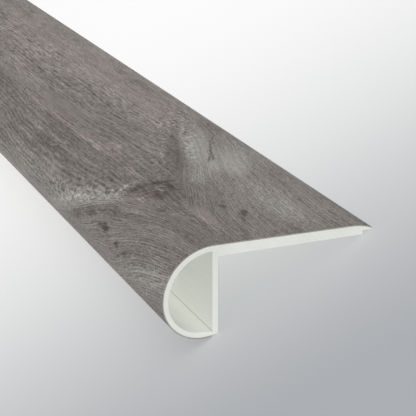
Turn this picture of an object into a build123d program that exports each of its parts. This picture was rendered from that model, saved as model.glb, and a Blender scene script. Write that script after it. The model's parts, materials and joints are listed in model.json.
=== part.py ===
from build123d import *
from math import asin, atan2, cos, degrees, sin, sqrt
import os

# Flush stair nosing: one length of hollow extruded vinyl with a printed film wrapped over its show side.
# The section is drawn with x from the nose front towards the rear lip, and y up from the foot of the nose.
# Radii, heights and thicknesses are those of the finished section, with the film on.

# Overall sizes
length = 2388.0
width = 59.2
height = 25.4

# Film, walls and tread plate
film_thickness = 0.3
nose_wall = 1.45
web_thickness = 1.6
plate_at_web = 3.4
plate_at_rear = 2.9

# Floor of the nose hollow where it meets the web, above the foot of the nose
floor_at_web = 1.5

# Nose curve: a quarter turn down from the top face, a tighter one under it, and a slack heel to the web
shoulder_radius = 14.45
heel_radius = 17.4
nose_depth = 15.4

# Rear lip, which laps over the edge of the next plank
lip_reach = 2.5
lip_depth = 1.75
lip_fall_run = 5.5
lip_fall_radius = 15.0

# Film edge under the nose, measured round from its lowest line
film_tuck = 2.6

# The under arc takes up the height that the shoulder leaves
quarter_turn = 90.0
under_radius = height - shoulder_radius

# Faces that meet the stair and the next plank
chamber_back = nose_depth - web_thickness
rebate = width - lip_reach
lip_under = height - lip_depth
film_sweep = degrees(film_tuck / heel_radius)
stair_seat = [
    (nose_depth, 0),
    (nose_depth, height - plate_at_web),
    (rebate, height - plate_at_rear),
    (rebate, lip_under),
    (width, lip_under),
    (width, 0),
]

# Lying loose, the nosing stands on the heel of the web and on whichever rear corner meets the floor first
heel_core_radius = heel_radius - film_thickness
heel_y = heel_radius - sqrt(heel_core_radius**2 - (nose_depth - under_radius) ** 2)
tip_angle = atan2(lip_under - heel_y, width - nose_depth)
plate_angle = atan2(height - plate_at_rear - heel_y, rebate - nose_depth)
tilt = min(tip_angle, plate_angle)

# The section plane carries that tilt and puts the middle of the footprint at the origin
tip_y = height - lip_fall_radius + sqrt(lip_fall_radius**2 - lip_fall_run**2)
nose_reach = under_radius * (cos(tilt) + sin(tilt) - 1)
tip_reach = width * cos(tilt) + tip_y * sin(tilt)
floor_drop = heel_y * cos(tilt) - nose_depth * sin(tilt)
section_plane = Plane(
    origin=(-(nose_reach + tip_reach) / 2, 0, -floor_drop),
    x_dir=(cos(tilt), 0, -sin(tilt)),
    z_dir=(0, -1, 0),
)


def show_line(inset, heel_sweep=0):
    """Draw the show side at a constant inset, from the lip tip over the top to the foot or round the heel."""
    fall_radius = lip_fall_radius - inset
    fall_turn = asin(lip_fall_run / fall_radius)
    tip = (width, height - lip_fall_radius + fall_radius * cos(fall_turn))
    fall = JernArc(tip, (-cos(fall_turn), sin(fall_turn)), fall_radius, degrees(fall_turn))
    top = Line(fall @ 1, (shoulder_radius, height - inset))
    shoulder = JernArc(top @ 1, top % 1, shoulder_radius - inset, quarter_turn)
    under = JernArc(shoulder @ 1, shoulder % 1, under_radius - inset, quarter_turn)
    end = under @ 1
    if heel_sweep:
        end = JernArc(under @ 1, under % 1, heel_radius - inset, heel_sweep) @ 1
    return fall @ 0, end


# Core: the outline with its heel arc run on under the plate, then the stair seat and the nose hollow cut out
with BuildPart() as core_profile:
    with BuildSketch(section_plane):
        with BuildLine():
            tip, heel = show_line(film_thickness, quarter_turn)
            Polyline(heel, (width, heel.Y), tip)
        make_face()
    extrude(amount=length / 2, both=True)
    with BuildSketch(section_plane):
        with BuildLine():
            Polyline(*stair_seat, close=True)
        make_face()
    extrude(amount=length / 2, both=True, mode=Mode.SUBTRACT)
    with BuildSketch(section_plane):
        with BuildLine():
            tip, foot = show_line(film_thickness + nose_wall)
            Polyline(foot, (chamber_back, floor_at_web), (width, floor_at_web), tip)
        make_face()
        split(bisect_by=Plane.YZ.offset(chamber_back), keep=Keep.BOTTOM)
    extrude(amount=length / 2, both=True, mode=Mode.SUBTRACT)

# Film: a skin of constant thickness over the show side, cut off with the stair seat where it would pass it
with BuildPart() as decor_film:
    with BuildSketch(section_plane):
        with BuildLine():
            outer_tip, outer_edge = show_line(0, film_sweep)
            inner_tip, inner_edge = show_line(film_thickness, film_sweep)
            Line(outer_tip, inner_tip)
            Line(outer_edge, inner_edge)
        make_face()
        with BuildLine():
            Polyline(*stair_seat, close=True)
        make_face(mode=Mode.SUBTRACT)
    extrude(amount=length / 2, both=True)

core_profile.part.label = "core_profile"
decor_film.part.label = "decor_film"

os.makedirs("parts", exist_ok=True)
export_step(core_profile.part, "parts/core_profile.step")
export_step(decor_film.part, "parts/decor_film.step")
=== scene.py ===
"""Flush stair nosing: one length of hollow white vinyl wrapped in a grey oak print, lying on a pale floor."""

import json
import logging
from dataclasses import dataclass, field
from enum import Enum
from math import asin, atan2, cos, hypot, pi, radians, sin
from typing import Callable, Optional, Sequence, Union

import bmesh
import bpy
from mathutils import Color, Matrix, Vector


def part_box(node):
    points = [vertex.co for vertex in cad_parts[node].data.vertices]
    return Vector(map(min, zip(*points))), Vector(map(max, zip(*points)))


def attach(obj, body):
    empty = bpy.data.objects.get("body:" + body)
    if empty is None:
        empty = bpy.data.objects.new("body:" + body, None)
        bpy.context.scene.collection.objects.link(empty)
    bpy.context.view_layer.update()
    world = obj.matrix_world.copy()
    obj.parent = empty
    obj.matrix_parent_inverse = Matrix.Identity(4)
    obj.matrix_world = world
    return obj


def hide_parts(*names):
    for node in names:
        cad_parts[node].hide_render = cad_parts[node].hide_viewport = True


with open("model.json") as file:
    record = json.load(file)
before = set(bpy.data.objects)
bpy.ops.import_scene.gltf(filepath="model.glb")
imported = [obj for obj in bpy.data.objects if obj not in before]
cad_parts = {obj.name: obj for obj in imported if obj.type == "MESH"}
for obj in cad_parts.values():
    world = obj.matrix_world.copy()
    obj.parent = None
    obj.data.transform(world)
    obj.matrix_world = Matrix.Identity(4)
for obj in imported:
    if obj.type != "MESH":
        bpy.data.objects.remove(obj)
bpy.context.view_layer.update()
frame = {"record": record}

LOG = logging.getLogger("stair_nosing")
MM = 0.001
BODY = "root"
PRINT_MAP = "print_run"
BAKE_MAP = "OFBake"
FULL_STEP = 255
SOFT_CORE = 0.35

Point = tuple[float, float]
Pair = tuple[float, float]
Socket = bpy.types.NodeSocket
Feed = Union[Socket, float, Sequence[float]]


class Turn(Enum):
    """Which way a lengthwise edge is swung about its centre, as the sense of the axis along the length."""

    TO_LIP = -1
    TO_NOSE = 1


class Slot(Enum):
    """Material slots of the record."""

    VINYL = "white_vinyl"
    FILM = "oak_print_film"


class FilmFace(Enum):
    """Faces of the film, in the order of its material slots."""

    PRINT = 0
    BACK = 1
    CUT = 2


class Strip(Enum):
    """Strips of the film's bake map above the rows of its show face, each from its low to its high side."""

    BACK = (0.955, 0.982)
    NEAR_END = (0.985, 0.988)
    FAR_END = (0.989, 0.992)
    LIP_EDGE = (0.993, 0.996)
    TUCK_EDGE = (0.997, 1.0)


@dataclass(frozen=True)
class Section:
    """Finished section of the nosing, drawn upright.

    Across runs from the front of the nose to the tip of the rear lip, and up from the foot of the nose.
    """

    width: float = 59.2 * MM
    height: float = 25.4 * MM
    film: float = 0.3 * MM
    nose_wall: float = 1.45 * MM
    web: float = 1.6 * MM
    plate_at_web: float = 3.4 * MM
    plate_at_rear: float = 2.9 * MM
    floor_at_web: float = 1.5 * MM
    shoulder_radius: float = 14.45 * MM
    heel_radius: float = 17.4 * MM
    nose_depth: float = 15.4 * MM
    lip_reach: float = 2.5 * MM
    lip_depth: float = 1.75 * MM
    lip_fall_run: float = 5.5 * MM
    lip_fall_radius: float = 15.0 * MM
    film_tuck: float = 2.6 * MM

    @property
    def under_radius(self) -> float:
        """Radius under the nose, which takes up the height that the shoulder leaves."""
        return self.height - self.shoulder_radius

    @property
    def fall_start(self) -> float:
        """Where the flat top gives way to the fall of the lip."""
        return self.width - self.lip_fall_run

    @property
    def fall_centre(self) -> Point:
        """Centre of the lip's fall."""
        return self.fall_start, self.height - self.lip_fall_radius

    @property
    def shoulder_centre(self) -> Point:
        """Centre of the quarter turn from the top down to the nose front."""
        return self.shoulder_radius, self.under_radius

    @property
    def under_centre(self) -> Point:
        """Centre of the quarter turn under the nose."""
        return self.under_radius, self.under_radius

    @property
    def heel_centre(self) -> Point:
        """Centre of the slack arc from the foot of the nose to the web."""
        return self.under_radius, self.heel_radius

    @property
    def chamber_back(self) -> float:
        """Inner face of the web."""
        return self.nose_depth - self.web

    @property
    def chamber_corner(self) -> Point:
        """Where the floor of the nose hollow meets the web."""
        return self.chamber_back, self.floor_at_web

    def fall_angle(self, inset: float) -> float:
        """Angle that the lip falls through, at a depth under the show face."""
        return asin(self.lip_fall_run / (self.lip_fall_radius - inset))

    def heel_angle(self, inset: float, across: float) -> float:
        """Angle of the heel arc at a place across, at a depth under the show face."""
        return asin((across - self.under_radius) / (self.heel_radius - inset))

    def tip(self, inset: float) -> Point:
        """Rear end of the show face, at a depth under it."""
        radius = self.lip_fall_radius - inset
        return self.width, self.fall_centre[1] + radius * cos(self.fall_angle(inset))

    def heel(self, inset: float, across: float) -> Point:
        """Point of the heel arc at a place across, at a depth under the show face."""
        radius = self.heel_radius - inset
        return across, self.heel_radius - radius * cos(self.heel_angle(inset, across))

    @property
    def unrolled_marks(self) -> tuple[float, float, float, float, float]:
        """Distances round from the lip tip at which the fall, top, shoulder, under arc and film end."""
        fall = self.lip_fall_radius * self.fall_angle(0.0)
        top = fall + self.fall_start - self.shoulder_radius
        shoulder = top + self.shoulder_radius * pi / 2
        under = shoulder + self.under_radius * pi / 2
        return fall, top, shoulder, under, under + self.film_tuck

    def unrolled(self, across: float, up: float) -> float:
        """Distance round the show face from the lip tip to a point on it.

        Args:
            across: place across of the point.
            up: height of the point.

        Returns:
            The distance along the section, in metres.
        """
        fall, top, shoulder, under, _ = self.unrolled_marks
        if across > self.fall_start:
            return fall - self.lip_fall_radius * atan2(across - self.fall_start, up - self.fall_centre[1])
        if up > self.under_radius and across >= self.shoulder_radius:
            return fall + self.fall_start - across
        if up > self.under_radius:
            return top + self.shoulder_radius * atan2(self.shoulder_radius - across, up - self.under_radius)
        if across <= self.under_radius:
            return shoulder + self.under_radius * atan2(self.under_radius - up, self.under_radius - across)
        return under + self.heel_radius * atan2(across - self.under_radius, self.heel_radius - up)


@dataclass(frozen=True)
class Resting:
    """How the upright section lies when the nosing rests loose on its web heel and its lip tip."""

    section: Section
    tilt: float
    length: float

    @classmethod
    def from_frame(cls, section: Section) -> "Resting":
        """Read the tilt off the web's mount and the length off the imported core.

        Args:
            section: the section that rests.

        Returns:
            How it rests.
        """
        mounts = {mount["name"]: mount for mount in frame["record"]["mounts"]}
        axis = mounts["web_face"]["axis"]
        low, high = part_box("core_profile")
        return cls(section, atan2(-axis[2], axis[0]), high.y - low.y)

    @property
    def matrix(self) -> Matrix:
        """Place of the upright section in the row frame."""
        section = self.section
        nose_reach = section.under_radius * (cos(self.tilt) + sin(self.tilt) - 1)
        tip_reach = section.width * cos(self.tilt) + section.tip(0.0)[1] * sin(self.tilt)
        heel = section.heel(section.film, section.nose_depth)
        drop = heel[1] * cos(self.tilt) - heel[0] * sin(self.tilt)
        shift = Matrix.Translation((-(nose_reach + tip_reach) / 2, 0, -drop))
        return shift @ Matrix.Rotation(self.tilt, 4, "Y")

    @property
    def near_end(self) -> float:
        """Place along the length of the end that faces the viewer."""
        return -self.length / 2


class MeshBench:
    """One mesh shaped by hand in edit mode, as strips along the length whose edges are picked by place."""

    REACH = 0.002 * MM

    def __init__(self, name: str, length: float) -> None:
        """Start an empty bench.

        Args:
            name: name of the piece.
            length: length of every strip.
        """
        self.name = name
        self.length = length
        self.piece: Optional[bpy.types.Object] = None

    def lay_strip(self, start: Point, stop: Point) -> None:
        """Add a plane between two section points that are level or plumb, over the whole length.

        Args:
            start: first section point.
            stop: second section point.
        """
        middle = ((start[0] + stop[0]) / 2, 0.0, (start[1] + stop[1]) / 2)
        rise = abs(stop[1] - start[1])
        turn = (0.0, pi / 2, 0.0) if rise > self.REACH else (0.0, 0.0, 0.0)
        if self.piece is None:
            bpy.ops.object.select_all(action="DESELECT")
            bpy.ops.mesh.primitive_plane_add(size=1.0, location=(0.0, 0.0, 0.0))
            self.piece = bpy.context.object
            self.piece.name = self.name
            self.piece.data.name = self.name
            bpy.ops.object.mode_set(mode="EDIT")
            bpy.ops.mesh.select_mode(type="EDGE")
            bpy.ops.mesh.select_all(action="SELECT")
            bpy.ops.transform.translate(value=middle)
        else:
            bpy.ops.mesh.select_all(action="DESELECT")
            bpy.ops.mesh.primitive_plane_add(size=1.0, location=middle, rotation=turn)
        size = (max(abs(stop[0] - start[0]), self.REACH), self.length, max(rise, self.REACH))
        bpy.ops.transform.resize(value=size, center_override=middle)

    def pick(self, wanted: Callable[[bmesh.types.BMEdge], bool]) -> int:
        """Select the edges that a test accepts, and no others.

        Args:
            wanted: test of one edge.

        Returns:
            How many edges are selected.
        """
        bpy.ops.mesh.select_all(action="DESELECT")
        shape = bmesh.from_edit_mesh(self.piece.data)
        chosen = [edge for edge in shape.edges if wanted(edge)]
        for edge in chosen:
            edge.select_set(True)
        bmesh.update_edit_mesh(self.piece.data)
        return len(chosen)

    def pick_run(self, spot: Point) -> None:
        """Select the lengthwise edge at a section point.

        Args:
            spot: the section point.
        """
        found = self.pick(lambda edge: all(self.at(vert, spot) for vert in edge.verts))
        if found != 1:
            raise ValueError(f"{self.name}: {found} edges at {spot}")

    def at(self, vert: bmesh.types.BMVert, spot: Point) -> bool:
        """Whether a vertex lies at a section point."""
        return hypot(vert.co.x - spot[0], vert.co.z - spot[1]) < self.REACH

    def swing(self, spot: Point, centre: Point, angle: float, steps: int, turn: Turn) -> Point:
        """Spin the edge at a point about a centre, leaving a curved strip behind it.

        Args:
            spot: section point of the edge.
            centre: section point of the axis.
            angle: angle to turn through.
            steps: number of flats in the curve.
            turn: which way it turns.

        Returns:
            The section point where the edge ends up.
        """
        self.pick_run(spot)
        bpy.ops.mesh.spin(
            steps=steps, angle=angle, center=(centre[0], 0.0, centre[1]), axis=(0.0, float(turn.value), 0.0)
        )
        out, up = spot[0] - centre[0], spot[1] - centre[1]
        side = turn.value
        return (
            centre[0] + out * cos(angle) - side * up * sin(angle),
            centre[1] + side * out * sin(angle) + up * cos(angle),
        )

    def draw_out(self, spot: Point, target: Point) -> Point:
        """Extrude the edge at a point to another point, leaving a flat strip behind it.

        Args:
            spot: section point of the edge.
            target: section point that it moves to.

        Returns:
            The target.
        """
        self.pick_run(spot)
        move = (target[0] - spot[0], 0.0, target[1] - spot[1])
        bpy.ops.mesh.extrude_region_move(TRANSFORM_OT_translate={"value": move})
        return target

    def soften(self, spots: Sequence[Point], radius: float, steps: int) -> None:
        """Round the lengthwise edges at some section points.

        Args:
            spots: section points of the edges.
            radius: radius of the rounding.
            steps: number of flats in it.
        """
        self.pick(lambda edge: any(all(self.at(vert, spot) for vert in edge.verts) for spot in spots))
        bpy.ops.mesh.bevel(offset=radius, segments=steps, affect="EDGES")

    def join_seams(self) -> None:
        """Merge the strips' shared edges."""
        bpy.ops.mesh.select_all(action="SELECT")
        bpy.ops.mesh.remove_doubles(threshold=self.REACH)

    def divide(self, bays: int) -> None:
        """Cut every strip across into equal bays along the length.

        Args:
            bays: number of the bays.
        """
        half = self.length / 2
        self.pick(lambda edge: abs(edge.verts[0].co.y - edge.verts[1].co.y) > half)
        bpy.ops.mesh.subdivide(number_cuts=bays - 1)

    def cap(self, side: int, chamfer: float) -> None:
        """Close one end and break its edges.

        Args:
            side: -1 for the near end and 1 for the far one.
            chamfer: size of the broken edges.
        """
        end = side * self.length / 2
        self.pick(lambda edge: edge.is_boundary and all(abs(v.co.y - end) < self.REACH for v in edge.verts))
        bpy.ops.mesh.fill(use_beauty=True)
        bpy.ops.mesh.select_mode(type="FACE")
        bpy.ops.mesh.select_all(action="DESELECT")
        shape = bmesh.from_edit_mesh(self.piece.data)
        for face in shape.faces:
            face.select_set(all(abs(vert.co.y - end) < self.REACH for vert in face.verts))
        bmesh.update_edit_mesh(self.piece.data)
        bpy.ops.mesh.normals_make_consistent(inside=False)
        shape = bmesh.from_edit_mesh(self.piece.data)
        if next(face for face in shape.faces if face.select).normal.y * side < 0:
            bpy.ops.mesh.flip_normals()
        bpy.ops.mesh.inset(thickness=chamfer, depth=chamfer)
        bpy.ops.mesh.select_mode(type="EDGE")

    def face_out(self) -> None:
        """Point the faces of a closed shape outwards."""
        bpy.ops.mesh.select_all(action="SELECT")
        bpy.ops.mesh.normals_make_consistent(inside=False)

    def face_up(self) -> None:
        """Point the faces of an open skin away from what it covers, going by its flat top."""
        self.face_out()
        shape = bmesh.from_edit_mesh(self.piece.data)
        top = max(shape.faces, key=lambda face: face.calc_center_median().z)
        if top.normal.z < 0:
            bpy.ops.mesh.flip_normals()

    def leave(self) -> bpy.types.Object:
        """Go back to object mode and hand over the piece."""
        bpy.ops.object.mode_set(mode="OBJECT")
        return self.piece


def settle(piece: bpy.types.Object, resting: Resting, crease: float) -> None:
    """Shade a piece, lay it as it rests and put its place into its mesh.

    Args:
        piece: the piece, modelled upright about the origin.
        resting: how it rests.
        crease: angle from which an edge is shaded sharp.
    """
    bpy.ops.object.select_all(action="DESELECT")
    piece.select_set(True)
    bpy.context.view_layer.objects.active = piece
    bpy.ops.object.shade_smooth_by_angle(angle=crease)
    piece.matrix_world = resting.matrix
    bpy.ops.object.transform_apply(location=True, rotation=True, scale=True)


@dataclass(frozen=True)
class Tone:
    """A colour as it looks on a screen, in steps from 0 to 255."""

    red: int
    green: int
    blue: int

    @property
    def paint(self) -> tuple[float, float, float, float]:
        """The colour in linear light, as sockets take it."""
        screen = Color((self.red / FULL_STEP, self.green / FULL_STEP, self.blue / FULL_STEP))
        return (*screen.from_srgb_to_scene_linear(), 1.0)


class NodeBench:
    """Sets out nodes in one tree and wires them up."""

    NOISE_DETAIL = 2.0
    NOISE_MIDDLE = 0.5

    def __init__(self, tree: bpy.types.NodeTree) -> None:
        """Take over a node tree."""
        self.tree = tree

    def add(self, kind: str, **settings: object) -> bpy.types.Node:
        """Add a node.

        Args:
            kind: type of the node.
            settings: its settings by name.

        Returns:
            The node.
        """
        node = self.tree.nodes.new(kind)
        for name, value in settings.items():
            setattr(node, name, value)
        return node

    def feed(self, socket: Socket, value: Feed) -> None:
        """Link a socket to another one, or set it.

        Args:
            socket: the socket to feed.
            value: an output socket or a plain value.
        """
        if isinstance(value, bpy.types.NodeSocket):
            self.tree.links.new(value, socket)
        else:
            socket.default_value = value

    def fill(self, node: bpy.types.Node, **feeds: Feed) -> bpy.types.Node:
        """Feed some inputs of a node.

        Args:
            node: the node.
            feeds: what its inputs take, named by words joined with underscores.

        Returns:
            The node.
        """
        for name, value in feeds.items():
            self.feed(node.inputs[name.replace("_", " ")], value)
        return node

    def run(self, node: bpy.types.Node, *terms: Feed) -> Socket:
        """Feed the inputs of a node in order.

        Args:
            node: the node.
            terms: what its inputs take.

        Returns:
            The node's first output.
        """
        for socket, term in zip(node.inputs, terms):
            self.feed(socket, term)
        return node.outputs[0]

    def math(self, operation: str, *terms: Feed) -> Socket:
        """Result of a math node on up to three terms."""
        return self.run(self.add("ShaderNodeMath", operation=operation), *terms)

    def ease(self, value: Feed, start: Feed, stop: Feed, most: float = 1.0) -> Socket:
        """Smooth step from 0 at start to the most at stop, which may lie either way round."""
        node = self.add("ShaderNodeMapRange", interpolation_type="SMOOTHSTEP", clamp=True)
        return self.fill(node, Value=value, From_Min=start, From_Max=stop, To_Max=most).outputs["Result"]

    def spread(self, value: Feed, low: float, high: float) -> Socket:
        """Straight stretch of a value from low and high to 0 and 1, held there."""
        node = self.add("ShaderNodeMapRange", clamp=True)
        return self.fill(node, Value=value, From_Min=low, From_Max=high).outputs["Result"]

    def split(self, place: Socket) -> Sequence[Socket]:
        """The three coordinates of a place."""
        return self.fill(self.add("ShaderNodeSeparateXYZ"), Vector=place).outputs

    def join(self, *terms: Feed) -> Socket:
        """A place from its coordinates."""
        return self.run(self.add("ShaderNodeCombineXYZ"), *terms)

    def noise(self, place: Sequence[Feed], rough: float = 0.5) -> Socket:
        """Noise at a place.

        Args:
            place: its three coordinates, in units of one blotch.
            rough: share of the finer blotches.

        Returns:
            The noise, which keeps about a half.
        """
        spot = self.join(*place)
        node = self.add("ShaderNodeTexNoise", noise_dimensions="3D")
        self.fill(node, Vector=spot, Scale=1.0, Detail=self.NOISE_DETAIL, Roughness=rough)
        return node.outputs["Fac"]

    def mix(self, amount: Feed, under: Feed, over: Feed) -> Socket:
        """Lay one colour over another.

        Args:
            amount: how well the upper one covers.
            under: the lower colour.
            over: the upper colour.

        Returns:
            The mixed colour.
        """
        node = self.add("ShaderNodeMix", data_type="RGBA", blend_type="MIX", clamp_factor=True)
        self.feed(node.inputs["Factor"], amount)
        colours = [socket for socket in node.inputs if socket.type == "RGBA"]
        for socket, colour in zip(colours, (under, over)):
            self.feed(socket, colour)
        return next(socket for socket in node.outputs if socket.type == "RGBA")

    def shade(self, colour: Feed, factor: Feed) -> Socket:
        """A colour made lighter or darker by a factor."""
        node = self.add("ShaderNodeVectorMath", operation="SCALE")
        return self.fill(node, Vector=colour, Scale=factor).outputs[0]

    def embossed(self, height: Feed, depth: float, strength: float) -> Socket:
        """Normals of a surface with a relief of some depth."""
        node = self.add("ShaderNodeBump")
        return self.fill(node, Strength=strength, Distance=depth, Height=height).outputs[0]

    def use(self, group: bpy.types.NodeTree, **feeds: Feed) -> bpy.types.Node:
        """Place a node group, with its inputs named by words joined with underscores."""
        return self.fill(self.add("ShaderNodeGroup", node_tree=group), **feeds)

    def surface(self, kind: str, **feeds: Feed) -> None:
        """Put a shader of a kind on the surface of a material."""
        shader = self.fill(self.add(kind), **feeds)
        self.feed(self.add("ShaderNodeOutputMaterial").inputs["Surface"], shader.outputs[0])


def blank_material(name: str) -> tuple[bpy.types.Material, NodeBench]:
    """Start a material with no nodes.

    Args:
        name: name of the material.

    Returns:
        The material, and the bench for its nodes.
    """
    material = bpy.data.materials.new(name)
    material.use_nodes = True
    material.node_tree.nodes.clear()
    return material, NodeBench(material.node_tree)


@dataclass(frozen=True)
class Layer:
    """A layer of the print: length and width of its blotches in millimetres, its seed and any weight."""

    length: float
    width: float
    seed: float
    weight: float = 0.0


@dataclass(frozen=True)
class KnotForm:
    """Shape of a knot and of the wake in which the grain closes behind it, in knot radii.

    A band is given by its middle and half width, counted out from the edge of the wake.
    """

    mouth_start: float = -5.5
    mouth_stop: float = 1.2
    mouth_width: float = 1.45
    flare_start: float = 0.7
    flare_slope: float = 0.4
    wake_most: float = 4.2
    wake_ease: float = 2.0
    fade_start: float = 25.0
    fade_stop: float = 90.0
    edge_half: float = 0.15
    pull_reach: float = 3.5
    inner_pull: float = 0.4
    stretch: float = 1.15
    ragged_pitch: float = 1.6
    ragged_depth: float = 0.9
    core_edge: float = 1.25
    core_full: float = 0.45
    ring_turns: float = 15.0
    feather_start: Pair = (-0.2, 1.0)
    feather_stop: Pair = (11.0, 4.5)
    dark_above: Pair = (-0.3, 0.75)
    dark_below: Pair = (0.85, 0.7)
    pale_above: Pair = (0.85, 1.0)
    pale_below: Pair = (-0.05, 0.7)


class PatternBook:
    """The node groups that the finishes share, each built once."""

    FIBRE_INPUTS = ("Along", "Across", "Length", "Width", "Seed")
    FIBRE_SPAN = (0.28, 0.72)
    FIBRE_ROUGH = 0.6
    KNOT_INPUTS = ("Along", "Across", "Knot Along", "Knot Across", "Reach", "Heading")
    KNOT_OUTPUTS = ("Shift", "Core", "Ring", "Dark", "Pale")

    def __init__(self) -> None:
        """Start with no groups."""
        self.form = KnotForm()
        self.groups: dict[str, bpy.types.NodeTree] = {}

    def group(
        self, name: str, inputs: Sequence[str], outputs: Sequence[str],
        draw: Callable[[NodeBench, dict[str, Socket]], dict[str, Socket]],
    ) -> bpy.types.NodeTree:
        """Give a group by name, building it the first time.

        Args:
            name: name of the group.
            inputs: names of its number inputs.
            outputs: names of its number outputs.
            draw: lays its nodes, from its inputs to its outputs.

        Returns:
            The group's node tree.
        """
        if name not in self.groups:
            tree = bpy.data.node_groups.new(name, "ShaderNodeTree")
            for title in inputs:
                tree.interface.new_socket(name=title, in_out="INPUT", socket_type="NodeSocketFloat")
            for title in outputs:
                tree.interface.new_socket(name=title, in_out="OUTPUT", socket_type="NodeSocketFloat")
            bench = NodeBench(tree)
            source = bench.add("NodeGroupInput")
            results = draw(bench, {title: source.outputs[title] for title in inputs})
            sink = bench.add("NodeGroupOutput")
            for title, socket in results.items():
                bench.feed(sink.inputs[title], socket)
            self.groups[name] = tree
        return self.groups[name]

    def fibre(self) -> bpy.types.NodeTree:
        """Long blotches drawn out one way, as fibres and growth bands are, from -1 to 1."""
        return self.group("fibre", self.FIBRE_INPUTS, ("Value",), self.draw_fibre)

    def knot(self) -> bpy.types.NodeTree:
        """A knot that parts the grain: its rings, the shift of the grain round it and its feathered edges."""
        return self.group("knot", self.KNOT_INPUTS, self.KNOT_OUTPUTS, self.draw_knot)

    def lay_fibre(self, bench: NodeBench, layer: Layer, along: Socket, across: Socket) -> Socket:
        """Place the fibre group with the sizes of a layer.

        Args:
            bench: the nodes that it goes among.
            layer: the layer.
            along: place along the blotches.
            across: place across them.

        Returns:
            The blotches, from -1 to 1.
        """
        node = bench.use(
            self.fibre(), Along=along, Across=across, Length=layer.length * MM, Width=layer.width * MM,
            Seed=layer.seed,
        )
        return node.outputs["Value"]

    def draw_fibre(self, bench: NodeBench, given: dict[str, Socket]) -> dict[str, Socket]:
        """Lay the nodes of the fibre group.

        Args:
            bench: the nodes of the group.
            given: its inputs.

        Returns:
            Its outputs.
        """
        place = (
            bench.math("DIVIDE", given["Along"], given["Length"]),
            bench.math("DIVIDE", given["Across"], given["Width"]),
            given["Seed"],
        )
        share = bench.spread(bench.noise(place, self.FIBRE_ROUGH), *self.FIBRE_SPAN)
        return {"Value": bench.math("MULTIPLY_ADD", share, 2.0, -1.0)}

    def draw_knot(self, bench: NodeBench, given: dict[str, Socket]) -> dict[str, Socket]:
        """Lay the nodes of the knot group.

        Args:
            bench: the nodes of the group.
            given: its inputs.

        Returns:
            Its outputs.
        """
        form, reach = self.form, given["Reach"]
        ahead = bench.math("SUBTRACT", given["Along"], given["Knot Along"])
        ahead = bench.math("DIVIDE", bench.math("MULTIPLY", ahead, given["Heading"]), reach)
        aside = bench.math("SUBTRACT", given["Across"], given["Knot Across"])
        aside = bench.math("DIVIDE", aside, reach)
        # Half width of the wake behind the knot, and how far out a place is from its edge
        mouth = bench.ease(ahead, form.mouth_start, form.mouth_stop, form.mouth_width)
        flare = bench.math("MAXIMUM", bench.math("SUBTRACT", ahead, form.flare_start), 0.0)
        flare = bench.math("MULTIPLY_ADD", flare, form.flare_slope, mouth)
        wake = bench.math("SMOOTH_MIN", flare, form.wake_most, form.wake_ease)
        edge = bench.math("SUBTRACT", bench.math("ABSOLUTE", aside), wake)
        # Shift of the grain, which closes in within the wake and dies away outside it
        inside = bench.ease(edge, form.edge_half, -form.edge_half)
        falloff = bench.math("DIVIDE", bench.math("MAXIMUM", edge, 0.0), -form.pull_reach)
        falloff = bench.math("EXPONENT", falloff)
        outer = bench.math("MULTIPLY", bench.math("MULTIPLY", bench.math("SIGN", aside), wake), falloff)
        inner = bench.math("MULTIPLY", aside, form.inner_pull)
        pull = bench.math("MULTIPLY_ADD", bench.math("SUBTRACT", inner, outer), inside, outer)
        pull = bench.math("MULTIPLY", pull, bench.ease(ahead, form.fade_stop, form.fade_start))
        shift = bench.math("MULTIPLY", pull, bench.math("MULTIPLY", reach, -1.0))
        # Rings of the knot itself, with a ragged outline
        scaled = [bench.math("MULTIPLY", term, form.ragged_pitch) for term in (ahead, aside)]
        ragged = bench.math("SUBTRACT", bench.noise((*scaled, reach)), bench.NOISE_MIDDLE)
        length = bench.math("POWER", bench.math("DIVIDE", ahead, form.stretch), 2.0)
        radius = bench.math("SQRT", bench.math("ADD", length, bench.math("POWER", aside, 2.0)))
        radius = bench.math("MULTIPLY_ADD", ragged, form.ragged_depth, radius)
        core = bench.ease(radius, form.core_edge, form.core_full)
        ring = bench.math("SINE", bench.math("MULTIPLY", radius, form.ring_turns))
        # Feathered edges of the wake: dark within and pale without above the knot, the other way below it
        window = bench.ease(ahead, *form.feather_start)
        window = bench.math("MULTIPLY", window, bench.ease(ahead, *form.feather_stop))
        above = bench.ease(aside, form.edge_half, -form.edge_half)
        dark = self.feathered(bench, edge, above, (form.dark_above, form.dark_below))
        pale = self.feathered(bench, edge, above, (form.pale_above, form.pale_below))
        return {
            "Shift": shift,
            "Core": core,
            "Ring": ring,
            "Dark": bench.math("MULTIPLY", dark, window),
            "Pale": bench.math("MULTIPLY", pale, window),
        }

    @staticmethod
    def feathered(bench: NodeBench, edge: Socket, above: Socket, bands: Sequence[Pair]) -> Socket:
        """Lay a soft band along each side of a wake.

        Args:
            bench: the nodes of the group.
            edge: distance out from the edge of the wake.
            above: 1 on its upper side and 0 on its lower one.
            bands: the bands of the upper and the lower side.

        Returns:
            Where the bands are, from 0 to 1.
        """
        upper, lower = (
            bench.ease(bench.math("ABSOLUTE", bench.math("SUBTRACT", edge, middle)), half, 0.0)
            for middle, half in bands
        )
        below = bench.math("SUBTRACT", 1.0, above)
        return bench.math("ADD", bench.math("MULTIPLY", above, upper), bench.math("MULTIPLY", below, lower))


@dataclass(frozen=True)
class Knot:
    """A knot of the print, in millimetres: its place, its radius and the way its wake opens along the length.

    It may come again with each repeat of the print.
    """

    along: float
    round: float
    reach: float
    heading: float
    repeats: bool = False


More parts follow.
